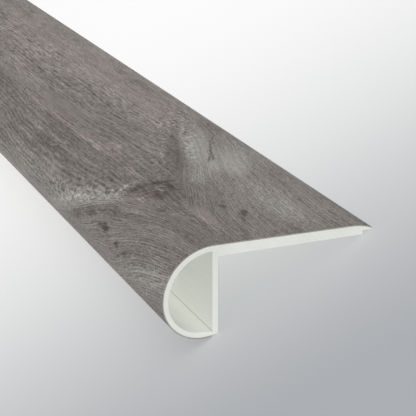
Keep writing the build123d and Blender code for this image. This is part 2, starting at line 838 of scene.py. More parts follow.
@dataclass(frozen=True)
class Blot:
    """A blotch or streak of the print, in millimetres: its middle, its half sizes and its turn.

    Its core is the share of the way out from its middle that it covers fully.
    """

    along: float
    round: float
    half_length: float
    half_width: float
    turn: float = 0.0
    core: float = SOFT_CORE

    @classmethod
    def between(cls, start: Point, stop: Point, half_width: float, core: float = SOFT_CORE) -> "Blot":
        """Draw a streak from one place to another.

        Args:
            start: place along and round of one end.
            stop: place of the other end.
            half_width: half its width.
            core: share of it that it covers fully.

        Returns:
            The streak.
        """
        middle = ((start[0] + stop[0]) / 2, (start[1] + stop[1]) / 2)
        run, drop = stop[0] - start[0], stop[1] - start[1]
        return cls(*middle, hypot(run, drop) / 2, half_width, atan2(drop, run), core)


@dataclass(frozen=True)
class Mark:
    """A blotch of the print with its colour, how well it covers and whether it breaks up into flecks."""

    shape: Blot
    tone: Tone
    strength: float
    flecked: bool = False


GREEN_GREY = Tone(122, 117, 112)
ROSE_GREY = Tone(127, 121, 117)
PINK = Tone(158, 143, 139)
PALE = Tone(165, 163, 158)
ROSE_PALE = Tone(158, 149, 145)
FIBRE_PALE = Tone(178, 174, 168)
FIBRE_DARK = Tone(72, 65, 60)
KNOT_BROWN = Tone(82, 76, 67)
SPOT_BROWN = Tone(66, 54, 48)
CRACK = Tone(46, 40, 35)

# Layers of the grain, weighted by how much they lighten and darken it
COARSE = (
    Layer(40.0, 1.1, 8.3, 0.16),
    Layer(110.0, 3.6, 11.4, 0.1),
    Layer(30.0, 9.0, 19.2, 0.1),
)
FINE = (
    Layer(1.6, 0.5, 3.1, 0.36),
    Layer(4.6, 0.7, 5.9, 0.27),
)
DASH = Layer(9.0, 0.9, 47.0, 0.12)
DASH_FAR = 0.4
GRIT = Layer(0.75, 0.6, 31.0, 0.34)
SPECKLE = Layer(2.4, 1.2, 53.0, 0.74)

# Pale hairs and dark pores, weighted by how well they cover, and the span of noise over which they show
HAIR = Layer(24.0, 0.6, 23.9, 0.3)
PORE = Layer(3.4, 0.42, 27.4, 0.4)
THREAD_SPAN = (0.3, 0.95)

# Layers that bend the grain or its marks, weighted by how far they do, in millimetres
WANDER = Layer(95.0, 24.0, 1.7, 1.6)
SWAY = Layer(13.0, 7.0, 83.0, 1.1)
ROAM = Layer(240.0, 90.0, 89.0, 22.0)
SLOW_WAVER = Layer(15.0, 28.0, 61.0, 0.9)
QUICK_WAVER = Layer(2.4, 1.7, 67.0, 0.45)
JOG = Layer(2.0, 1.4, 71.0, 0.9)

# Close light lines along the grain: their pitch in millimetres, weights, drift, breaks and cross-section
PIN_PITCH = 0.92
PIN_WEIGHT = 0.27
PIN_WEIGHT_LOW = 0.3
PIN_DRIFT = Layer(34.0, 4.0, 41.0, 2.6)
PIN_BREAK = Layer(9.0, 1.0, 43.0, 0.6)
PIN_BREAK_LEVEL = 0.7
PIN_SHARPNESS = 2.5
PIN_CREST = 1.8
PIN_TROUGH = -0.65

# Drift of the ground between its two tones
HUE = Layer(45.0, 6.0, 14.8)
HUE_IN_DASH = -0.5
HUE_SPAN = (-0.7, 0.7)

# How marks break up and end, and how much of the fine grain they clear away
FLECK_GRIT = 0.5
FLECK_SPAN = (-0.5, 0.6)
HAZE_LEAST = 0.7
BLOT_EDGE = 1.15
ROUGH_CLEARS = 0.75
SMOOTH_CLEARS = 0.6
KNOT_CLEARS = 0.9

# How well the knots and their wakes cover
WAKE_PALE = 0.45
WAKE_DARK = 0.6
RING_LEVEL = 0.5
RING_SWING = 0.35

# Emboss, in shares of its depth
PORE_SINK = -0.8
RIDGE_RISE = 0.4

# Repeat of the print and how far it leads in, in millimetres along
REPEAT = 770.0
LEAD_IN = 60.0

# Where the grain changes, in millimetres: along for the wild and far parts, round for the top and the nose
WILD_SPAN = (280.0, 480.0)
FAR_SPAN = (60.0, 150.0)
TOP_SPAN = (46.0, 34.0)
NOSE_SPAN = (40.0, 50.0)

# Fan of the grain round the nose at the near end, in millimetres, and its slope for each millimetre round
FAN_AXIS = 38.0
FAN_END = 36.0
FAN_EASE = 20.0
FAN_SLOPE = 0.0105

# The knots
KNOTS = (
    Knot(47.5, 43.5, 6.5, 1.0, True),
    Knot(690.0, 22.0, 5.5, -1.0),
    Knot(1260.0, 58.0, 6.0, 1.0),
    Knot(1905.0, 31.0, 7.0, -1.0),
)

# Where the grain is broken up, and where it is smooth
ROUGH = (
    Blot.between((44.0, 42.0), (136.0, 3.0), 9.0),
    Blot.between((42.0, 46.0), (104.0, 69.0), 5.5),
)
SMOOTH = (
    Blot(67.0, 14.0, 19.0, 9.0, -0.15),
    Blot(84.0, 17.0, 20.0, 5.5, -0.4),
    Blot(144.0, 41.0, 28.0, 6.0),
    Blot(24.0, 39.5, 14.0, 3.2, 0.1),
)

# Bands, blotches, streaks, spots and cracks, in the order in which they are laid
MARKS = (
    Mark(Blot(144.0, 14.0, 164.0, 18.0, 0.0, 0.0), ROSE_PALE, 0.58),
    Mark(Blot(25.0, 17.5, 25.0, 8.0, 0.0, 0.0), PALE, 0.62),
    Mark(Blot(270.0, 22.0, 120.0, 26.0), ROSE_PALE, 0.5),
    Mark(Blot(122.0, 55.5, 84.0, 11.0, 0.02, 0.0), KNOT_BROWN, 0.66),
    Mark(Blot(18.0, 52.0, 36.0, 9.0, 0.1), KNOT_BROWN, 0.26),
    Mark(Blot(14.0, 66.0, 34.0, 6.5, 0.2, 0.0), PALE, 0.42),
    Mark(Blot(64.0, 49.5, 16.0, 4.0, 0.12, 0.0), KNOT_BROWN, 0.45),
    Mark(Blot(196.0, 39.0, 44.0, 6.5, 0.0, 0.0), ROSE_PALE, 0.35),
    Mark(Blot(196.0, 50.0, 46.0, 5.5, 0.0, 0.0), KNOT_BROWN, 0.48),
    Mark(Blot(44.0, 41.5, 22.0, 11.0, 0.0, 0.0), KNOT_BROWN, 0.65),
    Mark(Blot(66.0, 14.0, 17.0, 8.5, -0.15), PALE, 0.8),
    Mark(Blot(83.0, 17.5, 20.0, 4.8, -0.4), PALE, 0.85),
    Mark(Blot(72.0, 5.0, 20.0, 5.5, 0.0, 0.0), PALE, 0.5),
    Mark(Blot(208.0, 3.0, 26.0, 4.5, 0.0, 0.0), ROSE_PALE, 0.5),
    Mark(Blot(103.0, 4.0, 12.0, 4.4, -0.05), KNOT_BROWN, 0.7, True),
    Mark(Blot(164.0, 7.0, 27.0, 3.0, 0.0, 0.2), SPOT_BROWN, 0.4, True),
    Mark(Blot(115.0, 63.5, 42.0, 4.4), PALE, 0.4, True),
    Mark(Blot(56.5, 48.5, 2.8, 5.0, 0.2, 0.0), FIBRE_PALE, 0.45, True),
    Mark(Blot(22.0, 39.0, 13.0, 2.8, 0.1), PINK, 0.5),
    Mark(Blot(93.0, 40.0, 7.0, 3.8), PINK, 0.45),
    Mark(Blot(66.0, 43.5, 6.5, 2.0), PINK, 0.45),
    Mark(Blot.between((60.0, 43.0), (176.0, 46.6), 2.4), PINK, 0.45),
    Mark(Blot.between((58.0, 44.0), (174.0, 47.6), 0.9), PINK, 0.65),
    Mark(Blot.between((62.0, 46.0), (174.0, 49.4), 1.3), KNOT_BROWN, 0.3),
    Mark(Blot.between((54.0, 50.0), (190.0, 55.4), 0.45, 0.0), FIBRE_PALE, 0.25),
    Mark(Blot.between((64.0, 51.6), (158.0, 53.0), 0.4, 0.0), FIBRE_PALE, 0.25),
    Mark(Blot.between((70.0, 56.4), (200.0, 58.6), 0.45, 0.0), FIBRE_PALE, 0.22),
    Mark(Blot.between((5.0, 37.8), (37.0, 42.8), 1.0), PINK, 0.7),
    Mark(Blot.between((50.0, 35.0), (110.0, 15.0), 3.6, 0.1), SPOT_BROWN, 0.7, True),
    Mark(Blot.between((46.0, 51.0), (106.0, 74.0), 4.2, -0.2), PALE, 0.5),
    Mark(Blot(48.6, 41.6, 2.8, 1.8, 0.0, 0.6), PALE, 0.75),
    Mark(Blot(49.8, 38.6, 3.2, 1.1, 0.15, 0.6), CRACK, 0.9),
    Mark(Blot(42.9, 44.3, 4.0, 1.5, -0.2, 0.6), SPOT_BROWN, 0.9),
    Mark(Blot(52.0, 48.0, 1.8, 3.4, 0.15, 0.5), SPOT_BROWN, 0.9),
    Mark(Blot(54.0, 40.0, 1.3, 5.4, 0.1, 0.5), SPOT_BROWN, 0.9),
    Mark(Blot(43.4, 49.0, 3.0, 1.1, 0.2, 0.5), PINK, 0.9),
    Mark(Blot(20.2, 28.3, 3.4, 1.4, -0.34), SPOT_BROWN, 1.0),
    Mark(Blot(15.6, 30.2, 2.8, 1.1, -0.3), SPOT_BROWN, 0.7),
    Mark(Blot(27.8, 32.0, 2.6, 1.1, -0.15), SPOT_BROWN, 0.8),
    Mark(Blot(8.0, 34.0, 8.5, 1.7, -0.2), SPOT_BROWN, 0.5, True),
    Mark(Blot(48.6, 62.2, 3.6, 1.6, 0.15), SPOT_BROWN, 1.0),
    Mark(Blot(52.6, 62.8, 2.4, 0.9, 0.2), SPOT_BROWN, 0.7),
    Mark(Blot(47.0, 57.0, 3.2, 2.6), SPOT_BROWN, 0.6, True),
    Mark(Blot(37.4, 63.5, 2.1, 1.0, 0.2), SPOT_BROWN, 1.0),
    Mark(Blot(31.0, 63.8, 1.5, 0.7, 0.2), SPOT_BROWN, 0.7),
    Mark(Blot(61.5, 61.5, 5.4, 1.9, 0.1), SPOT_BROWN, 0.6),
    Mark(Blot(72.0, 65.2, 6.4, 1.9, 0.33), SPOT_BROWN, 0.6),
    Mark(Blot.between((66.6, 19.4), (75.6, 15.8), 0.55), CRACK, 1.0),
    Mark(Blot.between((67.4, 17.6), (74.4, 15.5), 0.45), CRACK, 0.9),
    Mark(Blot.between((72.0, 17.0), (82.6, 12.2), 0.5), CRACK, 1.0),
    Mark(Blot.between((78.4, 14.2), (88.4, 9.8), 0.45), CRACK, 0.9),
    Mark(Blot.between((85.0, 11.4), (95.0, 6.4), 0.4), CRACK, 0.8),
)


class PrintSheet:
    """A print being laid out on the unrolled film, along from its near end and round from the lip."""

    def __init__(self, bench: NodeBench, book: PatternBook) -> None:
        """Read the film's own map and let the knots part the grain.

        Args:
            bench: the nodes of the material.
            book: the shared node groups.
        """
        self.bench = bench
        self.book = book
        place = bench.add("ShaderNodeUVMap", uv_map=PRINT_MAP)
        self.along, self.across, _ = bench.split(place.outputs[0])
        self.repeat = bench.math("WRAP", self.along, (REPEAT - LEAD_IN) * MM, -LEAD_IN * MM)
        self.wild = self.eased(self.along, WILD_SPAN)
        sway = self.bent(SWAY, self.across, self.wild)
        knots = [self.knotting(knot, sway) for knot in KNOTS]
        wander = bench.math("MULTIPLY", self.fibre(WANDER, self.across), WANDER.weight * MM)
        shift, self.core, self.ring, self.dark, self.pale = (
            self.summed([knot.outputs[title] for knot in knots]) for title in book.KNOT_OUTPUTS
        )
        self.grain = self.summed((self.across, shift, wander, self.fan()))
        self.grit = self.fibre(GRIT, self.across)
        self.speckle = self.fibre(SPECKLE, self.across)
        self.dash = self.fibre(DASH, self.grain)
        flecks = bench.math("MULTIPLY_ADD", self.grit, FLECK_GRIT, self.speckle)
        self.flecks = bench.ease(flecks, *FLECK_SPAN)
        self.haze = bench.math("MULTIPLY_ADD", self.flecks, 1.0 - HAZE_LEAST, HAZE_LEAST)
        self.place = self.wavering()

    def fibre(self, layer: Layer, sideways: Socket) -> Socket:
        """Noise drawn out along the length, from -1 to 1."""
        return self.book.lay_fibre(self.bench, layer, self.along, sideways)

    def eased(self, place: Socket, span: Pair) -> Socket:
        """Smooth step from 0 to 1 over a span of the print in millimetres."""
        return self.bench.ease(place, span[0] * MM, span[1] * MM)

    def bent(self, layer: Layer, place: Socket, amount: Optional[Socket] = None) -> Socket:
        """A place on the print, moved by a layer of noise.

        Args:
            layer: the noise, weighted by how far it moves the place in millimetres.
            place: distance along or round.
            amount: share of the move that is made, or none for all of it.

        Returns:
            The moved distance.
        """
        move = self.fibre(layer, self.across)
        if amount is not None:
            move = self.bench.math("MULTIPLY", move, amount)
        return self.bench.math("MULTIPLY_ADD", move, layer.weight * MM, place)

    def summed(self, terms: Sequence[Socket]) -> Socket:
        """Add up some numbers.

        Args:
            terms: the numbers.

        Returns:
            Their sum.
        """
        total = terms[0]
        for term in terms[1:]:
            total = self.bench.math("ADD", total, term)
        return total

    def knotting(self, knot: Knot, sideways: Socket) -> bpy.types.Node:
        """Place the knot group for a knot.

        Args:
            knot: the knot.
            sideways: distance round, with the sway that makes its wake uneven.

        Returns:
            The placed group.
        """
        return self.bench.use(
            self.book.knot(), Along=self.repeat if knot.repeats else self.along, Across=sideways,
            Knot_Along=knot.along * MM, Knot_Across=knot.round * MM, Reach=knot.reach * MM,
            Heading=knot.heading,
        )

    def fan(self) -> Socket:
        """Let the grain fan out round the nose, from the near end towards the first knot.

        Returns:
            The shift of the grain.
        """
        bench = self.bench
        below = bench.math("MAXIMUM", bench.math("SUBTRACT", self.across, FAN_AXIS * MM), 0.0)
        run = bench.math("SMOOTH_MIN", self.along, FAN_END * MM, FAN_EASE * MM)
        left = bench.math("SUBTRACT", FAN_END * MM, run)
        return bench.math("MULTIPLY", bench.math("MULTIPLY", below, left), FAN_SLOPE / MM)

    def wavering(self) -> Socket:
        """Read the place on the print with the waver that makes the marks ragged.

        Returns:
            The place, within the repeat of the print.
        """
        aside = self.bent(SLOW_WAVER, self.bent(QUICK_WAVER, self.across))
        return self.bench.join(self.bent(JOG, self.repeat), aside)

    def mask(self, shape: Blot, strength: float = 1.0) -> Socket:
        """Find where a blotch is.

        Args:
            shape: the blotch.
            strength: its most.

        Returns:
            A mask from 0 to its strength.
        """
        turned = self.bench.fill(
            self.bench.add("ShaderNodeMapping", vector_type="TEXTURE"), Vector=self.place,
            Location=(shape.along * MM, shape.round * MM, 0.0), Rotation=(0.0, 0.0, shape.turn),
            Scale=(shape.half_length * MM, shape.half_width * MM, 1.0),
        )
        reach = self.bench.add("ShaderNodeVectorMath", operation="LENGTH")
        self.bench.feed(reach.inputs[0], turned.outputs[0])
        return self.bench.ease(reach.outputs["Value"], BLOT_EDGE, shape.core, strength)

    def zone(self, shapes: Sequence[Blot]) -> Socket:
        """Find where any of some blotches is.

        Args:
            shapes: the blotches.

        Returns:
            A mask from 0 to 1.
        """
        total = self.mask(shapes[0])
        for shape in shapes[1:]:
            total = self.bench.math("MAXIMUM", total, self.mask(shape))
        return total

    def tinted(self) -> Socket:
        """Lay the ground, which drifts between a green grey and a rose grey, rosier in its dark dashes.

        Returns:
            Its colour.
        """
        drift = self.fibre(HUE, self.grain)
        hue = self.bench.math("MULTIPLY_ADD", self.dash, HUE_IN_DASH, drift)
        return self.bench.mix(self.bench.spread(hue, *HUE_SPAN), GREEN_GREY.paint, ROSE_GREY.paint)

    def blotted(self, colour: Socket, mask: Socket, tone: Tone, flecked: bool) -> Socket:
        """Lay a mark over a colour.

        Args:
            colour: the colour under it.
            mask: where the mark is and how well it covers.
            tone: its colour.
            flecked: whether it breaks up into flecks.

        Returns:
            The marked colour.
        """
        cover = self.flecks if flecked else self.haze
        return self.bench.mix(self.bench.math("MULTIPLY", mask, cover), colour, tone.paint)

    def marked(self, colour: Socket) -> Socket:
        """Lay the blotches, streaks and cracks over a colour.

        Args:
            colour: the colour under them.

        Returns:
            The marked colour.
        """
        for mark in MARKS:
            colour = self.blotted(colour, self.mask(mark.shape, mark.strength), mark.tone, mark.flecked)
        return colour

    def knotted(self, colour: Socket) -> Socket:
        """Lay the knots and their feathered wakes over a colour.

        Args:
            colour: the colour under them.

        Returns:
            The knotted colour.
        """
        bench = self.bench
        colour = self.blotted(colour, bench.math("MULTIPLY", self.pale, WAKE_PALE), PALE, False)
        colour = self.blotted(colour, bench.math("MULTIPLY", self.dark, WAKE_DARK), KNOT_BROWN, True)
        rings = bench.math("MULTIPLY_ADD", self.ring, RING_SWING, RING_LEVEL)
        return self.blotted(colour, bench.math("MULTIPLY", self.core, rings), KNOT_BROWN, False)

    def layered(self, layers: Sequence[Layer], level: Feed) -> Feed:
        """Add layers of grain to a level of light.

        Args:
            layers: the layers.
            level: the level under them.

        Returns:
            The new level.
        """
        for layer in layers:
            level = self.bench.math("MULTIPLY_ADD", self.fibre(layer, self.grain), layer.weight, level)
        return level

    def between(self, amount: Socket, low: float, high: float) -> Socket:
        """A value that goes from low to high with an amount."""
        return self.bench.math("MULTIPLY_ADD", amount, high - low, low)

    def grained(self, colour: Socket) -> Socket:
        """Draw the fibres, hairs and pores of the grain over a colour.

        Args:
            colour: the colour under them.

        Returns:
            The grained colour.
        """
        bench = self.bench
        far = self.eased(self.bent(ROAM, self.across, self.wild), TOP_SPAN)
        far = bench.math("MULTIPLY", self.eased(self.along, FAR_SPAN), far)
        dash_weight = self.between(far, DASH.weight, DASH_FAR)
        pin_weight = self.between(self.eased(self.across, NOSE_SPAN), PIN_WEIGHT, PIN_WEIGHT_LOW)
        fine = self.layered(FINE, bench.math("MULTIPLY", self.grit, GRIT.weight))
        fine = bench.math("MULTIPLY_ADD", self.dash, dash_weight, fine)
        rough = self.zone(ROUGH)
        plain = self.between(bench.math("MAXIMUM", rough, self.core), 1.0, 1.0 - ROUGH_CLEARS)
        fine = bench.math("MULTIPLY_ADD", self.pin_lines(), bench.math("MULTIPLY", pin_weight, plain), fine)
        keep = self.between(self.zone(SMOOTH), 1.0, 1.0 - SMOOTH_CLEARS)
        veil = bench.math("MULTIPLY", keep, self.between(self.core, 1.0, 1.0 - KNOT_CLEARS))
        level = bench.math("MULTIPLY_ADD", fine, keep, self.layered(COARSE, 1.0))
        level = bench.math("MULTIPLY_ADD", self.speckle, bench.math("MULTIPLY", rough, SPECKLE.weight), level)
        colour = bench.shade(colour, level)
        colour = self.threaded(colour, HAIR, veil, FIBRE_PALE)
        return self.threaded(colour, PORE, keep, FIBRE_DARK)

    def threads(self, layer: Layer) -> Socket:
        """Where the thin threads of a layer are, such as hairs or pores."""
        return self.bench.ease(self.fibre(layer, self.grain), *THREAD_SPAN)

    def threaded(self, colour: Socket, layer: Layer, cover: Socket, tone: Tone) -> Socket:
        """Lay thin threads over a colour.

        Args:
            colour: the colour under them.
            layer: their layer, weighted by how well they cover.
            cover: where they are kept.
            tone: their colour.

        Returns:
            The threaded colour.
        """
        kept = self.bench.math("MULTIPLY", self.threads(layer), cover)
        return self.bench.mix(self.bench.math("MULTIPLY", kept, layer.weight), colour, tone.paint)

    def pin_lines(self) -> Socket:
        """Draw close narrow light lines along the grain, broken into dashes.

        Returns:
            How much lighter or darker they make it.
        """
        bench = self.bench
        drift = bench.math("MULTIPLY", self.fibre(PIN_DRIFT, self.grain), PIN_DRIFT.weight)
        turns = bench.math("MULTIPLY_ADD", self.grain, 2.0 * pi / (PIN_PITCH * MM), drift)
        wave = bench.math("MULTIPLY_ADD", bench.math("SINE", turns), 0.5, 0.5)
        line = bench.math("MULTIPLY_ADD", bench.math("POWER", wave, PIN_SHARPNESS), PIN_CREST, PIN_TROUGH)
        breaks = self.fibre(PIN_BREAK, self.grain)
        breaks = bench.math("MULTIPLY_ADD", breaks, PIN_BREAK.weight, PIN_BREAK_LEVEL)
        return bench.math("MULTIPLY", line, breaks)

    def relief(self) -> Socket:
        """Height of the emboss, which follows the fibres and sinks at the pores."""
        ridges = self.bench.math("MULTIPLY", self.fibre(FINE[1], self.grain), RIDGE_RISE)
        return self.bench.math("MULTIPLY_ADD", self.threads(PORE), PORE_SINK, ridges)


@dataclass(frozen=True)
class OakPrint:
    """Weathered grey oak, printed on the film and lightly embossed, laid out on the unrolled show face."""

    name: str = "oak_print"
    roughness: float = 0.55
    roughness_swing: float = 0.04
    specular: float = 0.3
    emboss: float = 0.04 * MM
    emboss_strength: float = 0.3

    def make(self, book: PatternBook) -> bpy.types.Material:
        """Build the material.

        Args:
            book: the shared node groups.

        Returns:
            The material.
        """
        material, bench = blank_material(self.name)
        sheet = PrintSheet(bench, book)
        colour = sheet.grained(sheet.knotted(sheet.marked(sheet.tinted())))
        normal = bench.embossed(sheet.relief(), self.emboss, self.emboss_strength)
        roughness = bench.math("MULTIPLY_ADD", sheet.grit, self.roughness_swing, self.roughness)
        bench.surface(
            "ShaderNodeBsdfPrincipled", Base_Color=colour, Roughness=roughness, Normal=normal,
            Specular_IOR_Level=self.specular,
        )
        return material


@dataclass(frozen=True)
class FilmEdge:
    """The film where it is cut through: a thin line of its pale base under the print."""

    name: str = "film_edge"
    tone: Tone = Tone(170, 166, 160)
    tone_low: Tone = Tone(148, 144, 138)
    fleck: Layer = Layer(3.0, 3.0, 2.0)
    roughness: float = 0.6

    def make(self, book: PatternBook) -> bpy.types.Material:
        """Build the material.

        Args:
            book: the shared node groups.

        Returns:
            The material.
        """
        material, bench = blank_material(self.name)
        place = bench.add("ShaderNodeUVMap", uv_map=PRINT_MAP)
        along, across, _ = bench.split(place.outputs[0])
        flecks = book.lay_fibre(bench, self.fleck, along, across)
        colour = bench.mix(flecks, self.tone_low.paint, self.tone.paint)
        bench.surface("ShaderNodeBsdfPrincipled", Base_Color=colour, Roughness=self.roughness)
        return material


@dataclass(frozen=True)
class WhiteVinyl:
    """Off-white extruded vinyl, with faint draw lines along its length, saw marks on its cut ends and a dark
    line of painted shade in the crease of the hollow.

    Its corner is the crease of the hollow, as a place across and up. A grain is a width and a length.
    """

    corner: Point
    name: str = "white_vinyl"
    tone: Tone = Tone(223, 225, 220)
    tone_low: Tone = Tone(214, 216, 208)
    tone_span: Pair = (0.3, 0.65)
    draw_grain: Pair = (0.7 * MM, 260.0 * MM)
    cloud_grain: Pair = (9.0 * MM, 40.0 * MM)
    saw_grain: Pair = (0.35 * MM, 14.0 * MM)
    saw_slant: float = 0.35
    saw_seed: float = 4.0
    saw_rough: float = 0.6
    cut_span: Pair = (0.6, 0.95)
    lines_share: float = 0.4
    # A dark line of painted shade along the crease of the hollow: its colour, its reach and how well it
    # covers
    crease_shade_tone: Tone = Tone(160, 154, 140)
    crease_shade_span: Pair = (0.3 * MM, 0.1 * MM)
    crease_shade_cover: float = 0.55
    roughness: float = 0.5
    roughness_swing: float = 0.2
    specular: float = 0.4
    relief: float = 0.02 * MM
    relief_strength: float = 0.25

    def make(self) -> bpy.types.Material:
        """Build the material.

        Returns:
            The material.
        """
        material, bench = blank_material(self.name)
        place = bench.split(bench.add("ShaderNodeTexCoord").outputs["Object"])
        facing = bench.split(bench.add("ShaderNodeNewGeometry").outputs["Normal"])
        cut = bench.ease(bench.math("ABSOLUTE", facing[1]), *self.cut_span)
        walls = bench.math("SUBTRACT", 1.0, cut)
        drawn = bench.math("MULTIPLY", self.streaked(bench, place, self.draw_grain), walls)
        lines = bench.math("MULTIPLY_ADD", self.sawn(bench, place), cut, drawn)
        clouds = self.streaked(bench, place, self.cloud_grain)
        clouds = bench.math("MULTIPLY", clouds, 1.0 - self.lines_share)
        blend = bench.math("MULTIPLY_ADD", lines, self.lines_share, clouds)
        colour = bench.mix(bench.spread(blend, *self.tone_span), self.tone_low.paint, self.tone.paint)
        # Painted shade: a dark line along the crease of the hollow, kept to the walls and off the cut ends
        crease = bench.math("MULTIPLY", self.painted_crease_shade(bench, place), walls)
        colour = bench.mix(crease, colour, self.crease_shade_tone.paint)
        uneven = bench.math("SUBTRACT", blend, bench.NOISE_MIDDLE)
        bench.surface(
            "ShaderNodeBsdfPrincipled", Base_Color=colour,
            Roughness=bench.math("MULTIPLY_ADD", uneven, self.roughness_swing, self.roughness),
            Specular_IOR_Level=self.specular,
            Normal=bench.embossed(lines, self.relief, self.relief_strength),
        )
        return material

    def streaked(self, bench: NodeBench, place: Sequence[Socket], grain: Pair) -> Socket:
        """Noise drawn out along the length.

        Args:
            bench: the nodes of the material.
            place: the place across, along and up.
            grain: width and length of its blotches.

        Returns:
            The noise, which keeps about a half.
        """
        width, length = grain
        sizes = (width, length, width)
        return bench.noise([bench.math("DIVIDE", term, size) for term, size in zip(place, sizes)])

    def sawn(self, bench: NodeBench, place: Sequence[Socket]) -> Socket:
        """Slanting marks of the saw on a cut end.

        Args:
            bench: the nodes of the material.
            place: the place across, along and up.

        Returns:
            The noise of the marks, which keeps about a half.
        """
        width, length = self.saw_grain
        across = bench.math("MULTIPLY_ADD", place[2], self.saw_slant, place[0])
        across = bench.math("DIVIDE", across, width)
        return bench.noise((across, bench.math("DIVIDE", place[2], length), self.saw_seed), self.saw_rough)

    def painted_crease_shade(self, bench: NodeBench, place: Sequence[Socket]) -> Socket:
        """Dark line of painted shade in the crease of the hollow.

        Args:
            bench: the nodes of the material.
            place: the place across, along and up.

        Returns:
            Where the line is and how well it covers.
        """
        across, up = (
            bench.math("POWER", bench.math("SUBTRACT", term, middle), 2.0)
            for term, middle in zip((place[0], place[2]), self.corner)
        )
        off = bench.math("SQRT", bench.math("ADD", across, up))
        return bench.ease(off, *self.crease_shade_span, self.crease_shade_cover)


@dataclass
class Extrusion:
    """What both pieces share: their section, how it rests and how finely its curves are stepped."""

    section: Section
    resting: Resting
    bays: int = 50
    fall_steps: int = 8
    shoulder_steps: int = 32
    under_steps: int = 26

    def show_side(self, bench: MeshBench, inset: float) -> tuple[Point, Point]:
        """Lay the flat top, the fall of the lip and the round of the nose.

        Args:
            bench: the mesh being shaped.
            inset: how deep under the show face they lie.

        Returns:
            The section points of the lip tip and of the foot of the nose.
        """
        section = self.section
        top = section.height - inset
        brow, shoulder = (section.fall_start, top), (section.shoulder_radius, top)
        bench.lay_strip(shoulder, brow)
        tip = bench.swing(brow, section.fall_centre, section.fall_angle(inset), self.fall_steps, Turn.TO_LIP)
        front = bench.swing(shoulder, section.shoulder_centre, pi / 2, self.shoulder_steps, Turn.TO_NOSE)
        return tip, bench.swing(front, section.under_centre, pi / 2, self.under_steps, Turn.TO_NOSE)


@dataclass
class CoreProfile(Extrusion):
    """The white profile: a hollow nose, a web, a tread plate and a thin rear lip, extruded as one piece."""

    heel_steps: int = 5
    chamfer: float = 0.1 * MM
    corner_radius: float = 0.18 * MM
    corner_steps: int = 3
    crease: float = radians(32.0)

    def build(self) -> bpy.types.Object:
        """Model the profile upright and lay it as it rests.

        Returns:
            The finished piece.
        """
        bench = MeshBench("vinyl_core", self.resting.length - 2 * self.chamfer)
        corners = self.outer_walls(bench)
        self.chamber_walls(bench)
        bench.join_seams()
        bench.soften(corners, self.corner_radius, self.corner_steps)
        bench.divide(self.bays)
        bench.face_out()
        for side in (-1, 1):
            bench.cap(side, self.chamfer)
        bench.face_out()
        piece = bench.leave()
        settle(piece, self.resting, self.crease)
        return piece

    def outer_walls(self, bench: MeshBench) -> list[Point]:
        """Lay the walls round the outside of the profile.

        Args:
            bench: the mesh being shaped.

        Returns:
            The section points of its corners.
        """
        section = self.section
        spot, foot = self.show_side(bench, section.film)
        sweep = section.heel_angle(section.film, section.nose_depth)
        heel = bench.swing(foot, section.heel_centre, sweep, self.heel_steps, Turn.TO_NOSE)
        rebate = section.width - section.lip_reach
        path = [
            (section.width, section.height - section.lip_depth),
            (rebate, section.height - section.lip_depth),
            (rebate, section.height - section.plate_at_rear),
            (section.nose_depth, section.height - section.plate_at_web),
            heel,
        ]
        for target in path:
            spot = bench.draw_out(spot, target)
        return path

    def chamber_walls(self, bench: MeshBench) -> None:
        """Lay the walls of the hollow in the nose.

        Args:
            bench: the mesh being shaped.
        """
        section = self.section
        inset = section.film + section.nose_wall
        radius = section.shoulder_radius - inset
        start = asin((section.shoulder_radius - section.chamber_back) / radius)
        roof = (section.chamber_back, section.under_radius + radius * cos(start))
        bench.lay_strip(section.chamber_corner, roof)
        front = bench.swing(roof, section.shoulder_centre, pi / 2 - start, self.shoulder_steps, Turn.TO_NOSE)
        foot = bench.swing(front, section.under_centre, pi / 2, self.under_steps, Turn.TO_NOSE)
        bench.draw_out(foot, section.chamber_corner)

    def dress(self, piece: bpy.types.Object) -> None:
        """Give the profile its vinyl.

        Args:
            piece: the profile.
        """
        # Place of the crease of the hollow, where the line of painted shade is laid
        across, up = self.section.chamber_corner
        corner = self.resting.matrix @ Vector((across, 0.0, up))
        piece.data.materials.append(WhiteVinyl((corner.x, corner.z)).make())


